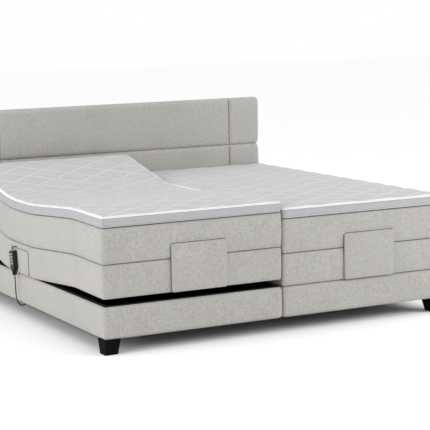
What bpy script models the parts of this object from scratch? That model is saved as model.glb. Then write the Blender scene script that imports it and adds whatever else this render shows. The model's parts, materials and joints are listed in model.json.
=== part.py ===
"""Twin electrically adjustable box-spring bed.

Two sleeping sides stand next to each other in front of one shared headboard.  Each side has an
upholstered base on tapered legs, four upholstered box sections (back, seat, thigh, calf), a
mattress, a topper and a twin linear drive.  The left side is modelled with its back and its legs
slightly raised, the right side flat.

Units are metres, +Z is up, +Y points to the headboard.  Every size below is given in the bed's own
frame, whose origin is on the floor at the middle of the mattress area; BED_ORIGIN then moves the
whole bed so that the world origin is the bottom centre of its outline.
"""
import math

import bmesh
import bpy
from mathutils import Matrix, Vector

# ---------------------------------------------------------------- driving dimensions
BED_ORIGIN = (0.01420, -0.03485, 0.0)

GAP = 0.0003                      # between pieces that touch
SIDE_CENTRE_X = 0.500             # middle of each sleeping side
SIDE_HALF_WIDTH = 0.497           # half of each sleeping side, leaving a 6 mm joint in the middle
FOOT_Y = -1.000
HEAD_Y = 0.985

LEG_HEIGHT = 0.0747
LEG_TOP = 0.085
LEG_BOTTOM = 0.066
LEG_SHIFT = 0.7                   # how far the taper leans to the outer corner, 0 to 1
MIDDLE_FOOT_LEG_Y = -0.600

BASE_BOTTOM_Z = 0.075
BASE_TOP_Z = 0.235
BOX_BOTTOM_Z = 0.2365
BOX_TOP_Z = 0.4045
MATTRESS_BOTTOM_Z = 0.4055
MATTRESS_TOP_Z = 0.5835
TOPPER_BOTTOM_Z = 0.5845
TOPPER_TOP_Z = 0.6315

COVER_THICKNESS = 0.0117          # foam and fabric on the base and around the boards
BOARD_THICKNESS = 0.020           # side boards of the base
BASE_FRAME_TOP_Z = 0.2382
BOTTOM_BOARD_Z = (0.0770, 0.0870)
SECTION_FRAME_Z = (0.2440, 0.2620)
SECTION_RIM = 0.035               # rails around a section frame
SECTION_BAR = 0.026               # bars across it
SECTION_WINDOW = 0.190            # largest opening between two bars

# section hinges, all at the height of the section frames
HINGE_Z = 0.250
BACK_HINGE_Y = 0.330
THIGH_HINGE_Y = -0.070
KNEE_HINGE_Y = -0.635

# angles of the left side as it stands, and the largest angles of both sides (degrees)
LEFT_BACK_ANGLE = 12.5
LEFT_THIGH_ANGLE = 4.3
CALF_RATIO = 1.2                  # the calf section turns back this much per degree of thigh
BACK_LIMIT = 55.0
THIGH_LIMIT = 32.0
BEND_CLEARANCE = 0.6              # extra opening on each side of a bend (degrees)

# lift gear
TUBE_RADIUS = 0.012
TUBE_HALF_LENGTH = 0.484
BEARING_HOLE_RADIUS = 0.0124
EAR_RADIUS = 0.0185
HINGE_CLEARANCE = 0.022           # soft sections stay this far from a tube's axis
TUBE_CHANNEL_RADIUS = 0.0210      # room for tubes and ears under the seat's soft box
SQUEEZE_BOTTOM_Z = 0.278          # the seat's soft filling over the tubes starts here
SOFT_GAP = 0.001                  # between neighbouring soft sections
FRAME_HINGE_GAP = 0.0225
ARM_X = 0.300
ARM_WIDTH = 0.020
ARM_Z = (-0.0115, -0.0040)        # under the section frames, seen from the hinge
BACK_ARM_LENGTH = 0.450
LEVER_X = 0.025
LEVER_THICKNESS = 0.008
LEVER_WIDTH = 0.022
LEVER_LENGTH = 0.075
BACK_LEVER_ANGLE = -30.0
LEG_LEVER_ANGLE = 17.0
KNEE_ROD_RADIUS = 0.007
KNEE_HOLE_RADIUS = 0.0074
KNEE_EYE_RADIUS = 0.0115
KNEE_EAR = (0.009, 0.009, 0.0095)   # half sizes of the ears on the leg arms
KNEE_GAP = 0.006
KNEE_FRAME_GAP = 0.0165
CALF_ARM_X = 0.270
CALF_ARM_LENGTH = 0.240

HOUSING_HALF_WIDTH = 0.075
HOUSING_WALL = 0.005
HOUSING_Y = (-0.150, 0.410)
HOUSING_Z = (0.130, 0.2345)

# upholstered panels
FOOT_PANEL = (0.308, 0.018, 0.242)
FOOT_PANEL_SHIFT = 0.020
FOOT_PANEL_BOTTOM_Z = 0.238
SIDE_PATCH_Y = (-0.005, 0.275)
SIDE_PATCH_Z = (0.243, 0.374)
SIDE_PATCH_THICKNESS = 0.0085

# headboard
HEADBOARD_FRONT_Y = 1.000
HEADBOARD_HALF_WIDTH = 0.998
HEADBOARD_TOP_Z = 1.070
HEADBOARD_PAD_THICKNESS = 0.0717
HEADBOARD_BOARD_THICKNESS = 0.018
HEADBOARD_EDGE = 0.026

# flat steel brackets that hold the headboard to the bases
BRACKET = (0.040, 0.208, 0.006)

# handset
HANDSET_CENTRE = (-1.0210, 0.170, 0.305)
HANDSET_TILT = -9.0
HANDSET_THICKNESS = 0.024
HANDSET_WIDTH = 0.058
HANDSET_LENGTH = 0.112
HANDSET_NOSE_WIDTH = 0.020
HANDSET_NOSE_LENGTH = 0.022
KEY_SIZE = (0.0050, 0.0408, 0.0118)
KEY_POCKET = (0.0051, 0.0420, 0.0130)
KEY_PROUD = 0.0012
KEY_HEIGHTS = (0.037, 0.020, 0.003, -0.014)
HOOK_WIRE_RADIUS = 0.0022

# handset cord
CORD_DIAMETER = 0.006
CORD_STEP = 0.013
HANDSET_TAIL_WIDTH = 0.011
HANDSET_TAIL_LENGTH = 0.022
GROMMET_PLACE = (-0.9550, 0.1850)
GROMMET_HEIGHT = 0.0079
CORD_ROUTE = (
    (-1.0210, 0.1577, 0.2272),
    (-1.0209, 0.1570, 0.2100),
    (-1.0205, 0.1560, 0.1850),
    (-1.0200, 0.1552, 0.1600),
    (-1.0193, 0.1548, 0.1300),
    (-1.0175, 0.1545, 0.1050),
    (-1.0130, 0.1550, 0.0850),
    (-1.0050, 0.1575, 0.0700),
    (-0.9950, 0.1625, 0.0600),
    (-0.9830, 0.1700, 0.0540),
    (-0.9700, 0.1775, 0.0515),
    (-0.9600, 0.1825, 0.0530),
    (-0.9553, 0.1848, 0.0580),
    (-0.9550, 0.1850, 0.0660),
)

# ---------------------------------------------------------------- scene, materials


def clear_scene():
    for obj in list(bpy.data.objects):
        bpy.data.objects.remove(obj, do_unlink=True)


def new_collection(name):
    collection = bpy.data.collections.new(name)
    bpy.context.scene.collection.children.link(collection)
    return collection


def new_material(name, color, roughness, metallic=0.0):
    material = bpy.data.materials.new(name)
    material.use_nodes = True
    shader = material.node_tree.nodes["Principled BSDF"]
    shader.inputs["Base Color"].default_value = (*color, 1.0)
    shader.inputs["Roughness"].default_value = roughness
    shader.inputs["Metallic"].default_value = metallic
    return material


clear_scene()
PARTS = new_collection("adjustable_bed")
CUTTERS = new_collection("cutters")

UPHOLSTERY = new_material("upholstery", (0.55, 0.54, 0.50), 0.95)
QUILT = new_material("quilt", (0.80, 0.80, 0.80), 0.90)
BLACK_BOARD = new_material("black_board", (0.02, 0.02, 0.02), 0.80)
BLACK_WOOD = new_material("black_wood", (0.012, 0.012, 0.012), 0.45)
BLACK_STEEL = new_material("black_steel", (0.03, 0.03, 0.03), 0.40, 0.8)
BLACK_PLASTIC = new_material("black_plastic", (0.02, 0.02, 0.02), 0.50)
GREY_PLASTIC = new_material("grey_plastic", (0.45, 0.46, 0.47), 0.45)
RUBBER = new_material("cord_rubber", (0.015, 0.015, 0.015), 0.60)

# ---------------------------------------------------------------- modelling helpers


def add_empty(name, location, parent=None):
    empty = bpy.data.objects.new(name, None)
    empty.empty_display_size = 0.05
    empty.location = location
    empty.parent = parent
    PARTS.objects.link(empty)
    return empty


def add_object(name, data, material, parent, location=(0.0, 0.0, 0.0)):
    obj = bpy.data.objects.new(name, data)
    obj.location = location
    obj.parent = parent
    data.materials.append(material)
    PARTS.objects.link(obj)
    return obj


def as_cutter(obj):
    PARTS.objects.unlink(obj)
    CUTTERS.objects.link(obj)
    obj.hide_render = True
    obj.display_type = "WIRE"
    return obj


def boolean(obj, operand, operation):
    modifier = obj.modifiers.new(operation.lower(), "BOOLEAN")
    modifier.operation = operation
    modifier.solver = "EXACT"
    modifier.object = as_cutter(operand)


def bevel(obj, width, segments=2):
    modifier = obj.modifiers.new("rounding", "BEVEL")
    modifier.width = width
    modifier.segments = segments
    modifier.limit_method = "ANGLE"
    modifier.angle_limit = math.radians(40)
    return obj


def smooth(mesh, angle=35.0):
    mesh.shade_smooth()
    mesh.set_sharp_from_angle(angle=math.radians(angle))


def blocks(name, corners, material, parent, location=(0.0, 0.0, 0.0)):
    """Mesh of blocks, each given by its low and high corner seen from the location."""
    mesh = bpy.data.meshes.new(name)
    bm = bmesh.new()
    for low, high in corners:
        low, high = Vector(low), Vector(high)
        bmesh.ops.create_cube(bm, size=1.0, matrix=Matrix.LocRotScale((low + high) / 2, None,
                                                                      high - low))
    bm.to_mesh(mesh)
    bm.free()
    return add_object(name, mesh, material, parent, location)


def box(name, low, high, material, parent, rounding=0.0, segments=2):
    """Block between two corners given in the parent's frame; its origin is its centre."""
    centre = (Vector(low) + Vector(high)) / 2
    obj = blocks(name, [(Vector(low) - centre, Vector(high) - centre)], material, parent, centre)
    if rounding:
        bevel(obj, rounding, segments)
    return obj


def cylinder(name, centre, radius, length, axis, material, parent, sides=24, top_radius=None):
    """Cylinder or cone along X or Z, centred at a point of the parent's frame."""
    turn = Matrix.Rotation(math.radians(90), 4, "Y") if axis == "X" else Matrix.Identity(4)
    mesh = bpy.data.meshes.new(name)
    bm = bmesh.new()
    bmesh.ops.create_cone(bm, cap_ends=True, segments=sides, radius1=radius,
                          radius2=radius if top_radius is None else top_radius,
                          depth=length, matrix=turn)
    bm.to_mesh(mesh)
    bm.free()
    smooth(mesh)
    return add_object(name, mesh, material, parent, centre)


def extrude_outlines(name, outlines, half_thickness, plane, material, parent,
                     location=(0.0, 0.0, 0.0)):
    """Solid from closed flat outlines, the first one outside and the others holes.

    Plane "XY" lays the outline flat, plane "YZ" stands it up across the bed.
    """
    curve = bpy.data.curves.new(name, "CURVE")
    curve.dimensions = "2D"
    curve.fill_mode = "BOTH"
    curve.extrude = half_thickness
    for outline in outlines:
        spline = curve.splines.new("POLY")
        spline.points.add(len(outline) - 1)
        for point, (u, v) in zip(spline.points, outline):
            point.co = (u, v, 0.0, 1.0)
        spline.use_cyclic_u = True
    source = bpy.data.objects.new(name, curve)
    PARTS.objects.link(source)
    evaluated = source.evaluated_get(bpy.context.evaluated_depsgraph_get())
    mesh = bpy.data.meshes.new_from_object(evaluated)
    bpy.data.objects.remove(source, do_unlink=True)
    mesh.name = name
    if plane == "YZ":
        mesh.transform(Matrix.Rotation(math.radians(90), 4, "Z")
                       @ Matrix.Rotation(math.radians(90), 4, "X"))
    bm = bmesh.new()
    bm.from_mesh(mesh)
    bmesh.ops.remove_doubles(bm, verts=bm.verts, dist=0.00005)
    bmesh.ops.recalc_face_normals(bm, faces=bm.faces)
    bm.to_mesh(mesh)
    bm.free()
    mesh.materials.clear()
    return add_object(name, mesh, material, parent, location)


def rectangle(x0, x1, y0, y1):
    return [(x0, y0), (x1, y0), (x1, y1), (x0, y1)]


def rounded_rectangle(x0, x1, y0, y1, radius, steps=3):
    """Outline with round corners, counter-clockwise from the lower left one."""
    corners = ((x0 + radius, y0 + radius, 180), (x1 - radius, y0 + radius, 270),
               (x1 - radius, y1 - radius, 0), (x0 + radius, y1 - radius, 90))
    points = []
    for cx, cy, start in corners:
        for step in range(steps + 1):
            turn = math.radians(start + 90 * step / steps)
            points.append((cx + radius * math.cos(turn), cy + radius * math.sin(turn)))
    return points


def keyhole(radius, foot, steps=10):
    """Round-headed ear in the YZ plane: its head is around the origin, its foot lies lower."""
    points = [(-radius, foot), (radius, foot)]
    for step in range(steps + 1):
        turn = math.pi * step / steps
        points.append((radius * math.cos(turn), radius * math.sin(turn)))
    return points


def smooth_route(points, step):
    """Points of a centripetal-like smooth curve through the route, about one step apart."""
    nodes = [Vector(p) for p in points]
    nodes = [2 * nodes[0] - nodes[1]] + nodes + [2 * nodes[-1] - nodes[-2]]
    route = [nodes[1]]
    for a, b, c, d in zip(nodes, nodes[1:], nodes[2:], nodes[3:]):
        pieces = max(1, round((c - b).length / step))
        for piece in range(1, pieces + 1):
            t = piece / pieces
            route.append(0.5 * ((2 * b) + (c - a) * t + (2 * a - 5 * b + 4 * c - d) * t * t
                                + (3 * b - a - 3 * c + d) * t * t * t))
    return route


def wire(name, points, radius, material, parent, resolution=2):
    """Round wire through a list of points, with closed ends."""
    curve = bpy.data.curves.new(name, "CURVE")
    curve.dimensions = "3D"
    curve.bevel_depth = radius
    curve.bevel_resolution = resolution
    curve.use_fill_caps = True
    spline = curve.splines.new("POLY")
    spline.points.add(len(points) - 1)
    for point, place in zip(spline.points, points):
        point.co = (*place, 1.0)
        point.radius = 1.0
    spline.use_smooth = True
    return add_object(name, curve, material, parent)


# ---------------------------------------------------------------- section shapes


def bend_edge(hinge_y, limit, direction, z):
    """Y of the end face of a soft section at height z; the face leans away from its hinge."""
    lean = math.radians(limit / 2 + BEND_CLEARANCE)
    offset = HINGE_CLEARANCE / math.cos(lean) + max(0.0, z - HINGE_Z) * math.tan(lean)
    return hinge_y + direction * offset


def squeeze_edge(hinge_y, limit, angle, direction, z):
    """Y of the seat's soft end face at height z, where it meets a section raised by an angle.

    The seat's foam fills the wedge over the tube and is squeezed when the section rises.
    """
    lean = math.radians(limit / 2 + BEND_CLEARANCE - angle)
    offset = HINGE_CLEARANCE / math.cos(lean) + (z - HINGE_Z) * math.tan(lean)
    return hinge_y + direction * (offset - SOFT_GAP)


def section_ends(section, z):
    """Front and rear Y of a moving soft section at height z, with the bed flat."""
    if section == "back":
        return bend_edge(BACK_HINGE_Y, BACK_LIMIT, 1, z), HEAD_Y
    if section == "thigh":
        return KNEE_HINGE_Y + KNEE_GAP, bend_edge(THIGH_HINGE_Y, THIGH_LIMIT, -1, z)
    return FOOT_Y, KNEE_HINGE_Y - KNEE_GAP


def seat_outline(low, high, back_angle, thigh_angle):
    """Side view of one soft layer of the fixed seat, which widens over both tubes."""
    wide_from = max(low, SQUEEZE_BOTTOM_Z)
    front = [(squeeze_edge(THIGH_HINGE_Y, THIGH_LIMIT, thigh_angle, -1, z), z)
             for z in (wide_from, high)]
    rear = [(squeeze_edge(BACK_HINGE_Y, BACK_LIMIT, back_angle, 1, z), z)
            for z in (wide_from, high)]
    if low < wide_from:
        front.insert(0, (bend_edge(THIGH_HINGE_Y, 0.0, 1, low), low))
        rear.insert(0, (bend_edge(BACK_HINGE_Y, 0.0, -1, low), low))
    return list(reversed(front)) + rear


def section_outline(section, low, high):
    """Side view of one soft layer of a moving section, between two heights."""
    levels = sorted({low, high} | ({HINGE_Z} if low < HINGE_Z < high else set()))
    front = [(section_ends(section, z)[0], z) for z in levels]
    rear = [(section_ends(section, z)[1], z) for z in levels]
    if section in ("thigh", "calf"):
        front = [front[0], front[-1]]
    if section in ("back", "calf"):
        rear = [rear[0], rear[-1]]
    return list(reversed(front)) + rear


def soft_layer(name, section, low, high, rounding, material, parent, hinge, angles):
    """Closed block for one section of a box, mattress or topper."""
    if section == "seat":
        side_view = seat_outline(low, high, *angles)
    else:
        side_view = section_outline(section, low, high)
    outline = [(y - hinge[1], z - hinge[2]) for y, z in side_view]
    obj = extrude_outlines(name, [outline], SIDE_HALF_WIDTH, "YZ", material, parent)
    return bevel(obj, rounding) if rounding else obj


def section_frame_span(section):
    """Front and rear Y of a section's steel frame, with the bed flat."""
    return {"back": (BACK_HINGE_Y + FRAME_HINGE_GAP, HEAD_Y - COVER_THICKNESS - GAP),
            "seat": (THIGH_HINGE_Y + FRAME_HINGE_GAP, BACK_HINGE_Y - FRAME_HINGE_GAP),
            "thigh": (KNEE_HINGE_Y + KNEE_FRAME_GAP, THIGH_HINGE_Y - FRAME_HINGE_GAP),
            "calf": (FOOT_Y + COVER_THICKNESS + GAP, KNEE_HINGE_Y - KNEE_FRAME_GAP)}[section]


def spaced_windows(low, high):
    """Equal openings between rails and bars along one direction."""
    clear = high - low - 2 * SECTION_RIM
    count = math.ceil((clear + SECTION_BAR) / (SECTION_WINDOW + SECTION_BAR))
    width = (clear - (count - 1) * SECTION_BAR) / count
    starts = [low + SECTION_RIM + i * (width + SECTION_BAR) for i in range(count)]
    return [(start, start + width) for start in starts]


def section_frame(name, section, parent, hinge):
    """Flat steel grid that carries one section."""
    low, high = SECTION_FRAME_Z
    if section == "seat":
        low = BASE_FRAME_TOP_Z + GAP
    front, rear = section_frame_span(section)
    half = SIDE_HALF_WIDTH - COVER_THICKNESS - GAP
    front, rear = front - hinge[1], rear - hinge[1]
    low, high = low - hinge[2], high - hinge[2]
    frame = box(name, (-half, front, low), (half, rear, high), BLACK_STEEL, parent)
    middle = frame.location
    windows = [(Vector((x0, y0, low - 0.01)) - middle, Vector((x1, y1, high + 0.01)) - middle)
               for x0, x1 in spaced_windows(-half, half)
               for y0, y1 in spaced_windows(front, rear)]
    boolean(frame, blocks(name + "_windows", windows, BLACK_STEEL, parent, middle), "DIFFERENCE")
    return frame


def section_box(name, section, parent, hinge, angles):
    """Upholstered box of a section, with a recess below for its frame."""
    obj = soft_layer(name, section, BOX_BOTTOM_Z, BOX_TOP_Z, 0.010, UPHOLSTERY, parent, hinge,
                     angles)
    half = SIDE_HALF_WIDTH - COVER_THICKNESS
    overshoot = 0.05
    low_y, high_y = (FOOT_Y, HEAD_Y) if section == "seat" else section_ends(section, BOX_BOTTOM_Z)
    low_y = low_y + COVER_THICKNESS if section == "calf" else low_y - overshoot
    high_y = high_y - COVER_THICKNESS if section == "back" else high_y + overshoot
    recess = box(name + "_recess", (-half, low_y - hinge[1], BOX_BOTTOM_Z - overshoot - hinge[2]),
                 (half, high_y - hinge[1], SECTION_FRAME_Z[1] + GAP - hinge[2]), UPHOLSTERY, parent)
    boolean(obj, recess, "DIFFERENCE")
    if section == "seat":
        for hinge_y in (BACK_HINGE_Y, THIGH_HINGE_Y):
            channel = cylinder(name + "_channel", (0.0, hinge_y, HINGE_Z), TUBE_CHANNEL_RADIUS,
                               2 * half, "X", UPHOLSTERY, parent)
            boolean(obj, channel, "DIFFERENCE")
    return obj


# ---------------------------------------------------------------- base


def base_frame(name, parent):
    """Side boards with a bottom board, and ears that carry both lift tubes."""
    outer = SIDE_HALF_WIDTH - COVER_THICKNESS - GAP
    foot, head = FOOT_Y + COVER_THICKNESS + GAP, HEAD_Y - COVER_THICKNESS - GAP
    inner = outer - BOARD_THICKNESS
    middle_z = (BASE_BOTTOM_Z + BASE_FRAME_TOP_Z) / 2
    ring = extrude_outlines(
        name, [rectangle(-outer, outer, foot, head),
               rectangle(-inner, inner, foot + BOARD_THICKNESS, head - BOARD_THICKNESS)],
        (BASE_FRAME_TOP_Z - BASE_BOTTOM_Z) / 2, "XY", BLACK_BOARD, parent, (0.0, 0.0, middle_z))
    inset = BOARD_THICKNESS / 2
    bottom = box(name + "_bottom", (-outer + inset, foot + inset, BOTTOM_BOARD_Z[0]),
                 (outer - inset, head - inset, BOTTOM_BOARD_Z[1]), BLACK_BOARD, parent)
    boolean(ring, bottom, "UNION")
    ear_half = BOARD_THICKNESS / 2
    for hinge_y in (BACK_HINGE_Y, THIGH_HINGE_Y):
        for side in (-1, 1):
            ear = extrude_outlines(name + "_ear", [keyhole(EAR_RADIUS, -0.05)], ear_half - 0.0002,
                                   "YZ", BLACK_BOARD, parent,
                                   (side * (outer - ear_half), hinge_y, HINGE_Z))
            boolean(ring, ear, "UNION")
        bore = cylinder(name + "_bore", (0.0, hinge_y, HINGE_Z), BEARING_HOLE_RADIUS, 1.2, "X",
                        BLACK_BOARD, parent)
        boolean(ring, bore, "DIFFERENCE")
    return ring


def base_cover(name, parent):
    """Padded fabric band around the base frame."""
    inner = SIDE_HALF_WIDTH - COVER_THICKNESS
    return extrude_outlines(
        name,
        [rounded_rectangle(-SIDE_HALF_WIDTH, SIDE_HALF_WIDTH, FOOT_Y, HEAD_Y, 0.015),
         rectangle(-inner, inner, FOOT_Y + COVER_THICKNESS, HEAD_Y - COVER_THICKNESS)],
        (BASE_TOP_Z - BASE_BOTTOM_Z) / 2, "XY", UPHOLSTERY, parent,
        (0.0, 0.0, (BASE_TOP_Z + BASE_BOTTOM_Z) / 2))


def leg(name, x, y, parent):
    """Square leg that tapers to the floor, more on its inner sides than on its outer ones."""
    mesh = bpy.data.meshes.new(name)
    bm = bmesh.new()
    bmesh.ops.create_cone(bm, cap_ends=True, segments=4, radius1=LEG_BOTTOM / math.sqrt(2),
                          radius2=LEG_TOP / math.sqrt(2), depth=LEG_HEIGHT,
                          matrix=Matrix.Rotation(math.radians(45), 4, "Z"))
    shift = LEG_SHIFT * (LEG_TOP - LEG_BOTTOM) / 2
    for vert in bm.verts:
        if vert.co.z < 0:
            vert.co.x += math.copysign(shift, x) if x else 0.0
            vert.co.y += math.copysign(shift, y)
    bm.to_mesh(mesh)
    bm.free()
    return add_object(name, mesh, BLACK_WOOD, parent, (x, y, LEG_HEIGHT / 2))


def legs(parent):
    """Legs at the outer corners, and two under the joint between the bases."""
    outer = SIDE_CENTRE_X + SIDE_HALF_WIDTH - LEG_TOP / 2
    foot, head = FOOT_Y + LEG_TOP / 2, HEAD_Y - LEG_TOP / 2
    places = {"leg_foot_left": (-outer, foot), "leg_foot_right": (outer, foot),
              "leg_head_left": (-outer, head), "leg_head_right": (outer, head),
              "leg_foot_middle": (0.0, MIDDLE_FOOT_LEG_Y), "leg_head_middle": (0.0, head)}
    for name, (x, y) in places.items():
        leg(name, x, y, parent)


# ---------------------------------------------------------------- lift gear


def motor_housing(name, parent):
    """Open-topped drive housing that hangs on both lift tubes by four ears."""
    low = (-HOUSING_HALF_WIDTH, HOUSING_Y[0], HOUSING_Z[0])
    high = (HOUSING_HALF_WIDTH, HOUSING_Y[1], HOUSING_Z[1])
    obj = box(name, low, high, BLACK_PLASTIC, parent, 0.008)
    cavity = box(name + "_cavity", [c + HOUSING_WALL for c in low],
                 (high[0] - HOUSING_WALL, high[1] - HOUSING_WALL, high[2] + 0.05),
                 BLACK_PLASTIC, parent)
    boolean(obj, cavity, "DIFFERENCE")
    wall_x = HOUSING_HALF_WIDTH - HOUSING_WALL / 2
    for hinge_y in (BACK_HINGE_Y, THIGH_HINGE_Y):
        for side in (-1, 1):
            ear = extrude_outlines(name + "_ear", [keyhole(EAR_RADIUS, -0.06)],
                                   HOUSING_WALL / 2 - 0.0002, "YZ", BLACK_PLASTIC, parent,
                                   (side * wall_x, hinge_y, HINGE_Z))
            boolean(obj, ear, "UNION")
        bore = cylinder(name + "_bore", (0.0, hinge_y, HINGE_Z), BEARING_HOLE_RADIUS, 0.3, "X",
                        BLACK_PLASTIC, parent)
        boolean(obj, bore, "DIFFERENCE")
    return obj


def add_lift_gear(frame, parent, direction, arm_length, lever_angle):
    """Weld a torsion tube, two lift arms and two levers to a section frame."""
    name = frame.name
    tube = cylinder(name + "_tube", (0.0, 0.0, 0.0), TUBE_RADIUS, 2 * TUBE_HALF_LENGTH, "X",
                    BLACK_STEEL, parent)
    boolean(frame, tube, "UNION")
    for side in (-1, 1):
        low_y, high_y = sorted((0.0, direction * arm_length))
        arm = box(name + "_arm", (side * ARM_X - ARM_WIDTH / 2, low_y, ARM_Z[0]),
                  (side * ARM_X + ARM_WIDTH / 2, high_y, ARM_Z[1]), BLACK_STEEL, parent)
        boolean(frame, arm, "UNION")
        lever = extrude_outlines(name + "_lever", [keyhole(LEVER_WIDTH / 2, -LEVER_LENGTH, 6)],
                                 LEVER_THICKNESS / 2, "YZ", BLACK_STEEL, parent,
                                 (side * LEVER_X, 0.0, 0.0))
        lever.rotation_euler.x = math.radians(lever_angle)
        boolean(frame, lever, "UNION")


def add_knee_rod(frame, parent):
    """End both leg arms in ears that hold the knee rod."""
    knee = KNEE_HINGE_Y - THIGH_HINGE_Y
    for side in (-1, 1):
        middle = side * ARM_X
        ear = box(frame.name + "_ear", (middle - KNEE_EAR[0], knee - KNEE_EAR[1], -KNEE_EAR[2]),
                  (middle + KNEE_EAR[0], knee + KNEE_EAR[1], KNEE_EAR[2]), BLACK_STEEL, parent)
        boolean(frame, ear, "UNION")
    rod = cylinder(frame.name + "_rod", (0.0, knee, 0.0), KNEE_ROD_RADIUS, 2 * ARM_X + 0.030, "X",
                   BLACK_STEEL, parent, 16)
    boolean(frame, rod, "UNION")


def add_knee_eyes(frame, parent):
    """Two straps under the calf frame, each with an eye around the knee rod."""
    for side in (-1, 1):
        middle, half = side * CALF_ARM_X, ARM_WIDTH / 2
        eye = extrude_outlines(frame.name + "_eye", [keyhole(KNEE_EYE_RADIUS, ARM_Z[0] + 0.001, 12)],
                               half - 0.001, "YZ", BLACK_STEEL, parent, (middle, 0.0, 0.0))
        boolean(frame, eye, "UNION")
        strap = box(frame.name + "_strap", (middle - half, -CALF_ARM_LENGTH, ARM_Z[0]),
                    (middle + half, -0.001, ARM_Z[1]), BLACK_STEEL, parent)
        boolean(frame, strap, "UNION")
    bore = cylinder(frame.name + "_bore", (0.0, 0.0, 0.0), KNEE_HOLE_RADIUS, 1.0, "X", BLACK_STEEL,
                    parent, 16)
    boolean(frame, bore, "DIFFERENCE")


# ---------------------------------------------------------------- one sleeping side


def make_side(side, label, back_angle, thigh_angle, bed):
    """All pieces of one side; `side` is -1 for left and 1 for right."""
    centre_x = side * SIDE_CENTRE_X
    base = add_empty("side_" + label, (centre_x, 0.0, 0.0), bed)
    back = add_empty("back_hinge_" + label, (0.0, BACK_HINGE_Y, HINGE_Z), base)
    back.rotation_euler.x = math.radians(back_angle)
    thigh = add_empty("thigh_hinge_" + label, (0.0, THIGH_HINGE_Y, HINGE_Z), base)
    thigh.rotation_euler.x = math.radians(-thigh_angle)
    calf = add_empty("knee_hinge_" + label, (0.0, KNEE_HINGE_Y - THIGH_HINGE_Y, 0.0), thigh)
    calf.rotation_euler.x = math.radians(CALF_RATIO * thigh_angle)

    base_frame("base_frame_" + label, base)
    base_cover("base_cover_" + label, base)
    motor_housing("motor_housing_" + label, base)

    sections = {"back": (back, (0.0, BACK_HINGE_Y, HINGE_Z)), "seat": (base, (0.0, 0.0, 0.0)),
                "thigh": (thigh, (0.0, THIGH_HINGE_Y, HINGE_Z)),
                "calf": (calf, (0.0, KNEE_HINGE_Y, HINGE_Z))}
    angles = (back_angle, thigh_angle)
    frames = {}
    for section, (parent, hinge) in sections.items():
        tail = section + "_" + label
        frames[section] = section_frame("frame_" + tail, section, parent, hinge)
        section_box("box_" + tail, section, parent, hinge, angles)
        soft_layer("mattress_" + tail, section, MATTRESS_BOTTOM_Z, MATTRESS_TOP_Z, 0.010,
                   UPHOLSTERY, parent, hinge, angles)
        soft_layer("topper_" + tail, section, TOPPER_BOTTOM_Z, TOPPER_TOP_Z, 0.010,
                   QUILT, parent, hinge, angles)

    add_lift_gear(frames["back"], back, 1, BACK_ARM_LENGTH, BACK_LEVER_ANGLE)
    add_lift_gear(frames["thigh"], thigh, -1, THIGH_HINGE_Y - KNEE_HINGE_Y, LEG_LEVER_ANGLE)
    add_knee_rod(frames["thigh"], thigh)
    add_knee_eyes(frames["calf"], calf)

    width, thickness, height = FOOT_PANEL
    face_y = FOOT_Y - GAP - KNEE_HINGE_Y
    low_z = FOOT_PANEL_BOTTOM_Z - HINGE_Z
    box("foot_panel_" + label, (FOOT_PANEL_SHIFT - width / 2, face_y - thickness, low_z),
        (FOOT_PANEL_SHIFT + width / 2, face_y, low_z + height), UPHOLSTERY, calf, 0.007)


def side_patch(name, side, parent):
    """Sewn-on pocket panel on the outer side of a seat section."""
    face = SIDE_CENTRE_X + SIDE_HALF_WIDTH + GAP
    low_x, high_x = sorted((side * face, side * (face + SIDE_PATCH_THICKNESS)))
    box(name, (low_x, SIDE_PATCH_Y[0], SIDE_PATCH_Z[0]), (high_x, SIDE_PATCH_Y[1], SIDE_PATCH_Z[1]),
        UPHOLSTERY, parent, 0.003)


# ---------------------------------------------------------------- headboard and handset


def headboard(parent):
    """Padded front, the board behind it and two brackets under the bases."""
    board_y = HEADBOARD_FRONT_Y + HEADBOARD_PAD_THICKNESS
    box("headboard_pad", (-HEADBOARD_HALF_WIDTH, HEADBOARD_FRONT_Y, BASE_BOTTOM_Z),
        (HEADBOARD_HALF_WIDTH, board_y - GAP, HEADBOARD_TOP_Z), UPHOLSTERY, parent,
        HEADBOARD_EDGE, 3)
    margin = 0.030
    box("headboard_board", (-HEADBOARD_HALF_WIDTH + margin, board_y, BASE_BOTTOM_Z),
        (HEADBOARD_HALF_WIDTH - margin, board_y + HEADBOARD_BOARD_THICKNESS,
         HEADBOARD_TOP_Z - margin), BLACK_BOARD, parent, 0.003)
    width, length, height = BRACKET
    high, back_y = BASE_BOTTOM_Z - GAP, board_y + HEADBOARD_BOARD_THICKNESS
    for side, label in ((-1, "left"), (1, "right")):
        x = side * SIDE_CENTRE_X
        box("headboard_bracket_" + label, (x - width / 2, back_y - length, high - height),
            (x + width / 2, back_y, high), BLACK_STEEL, parent)


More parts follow.
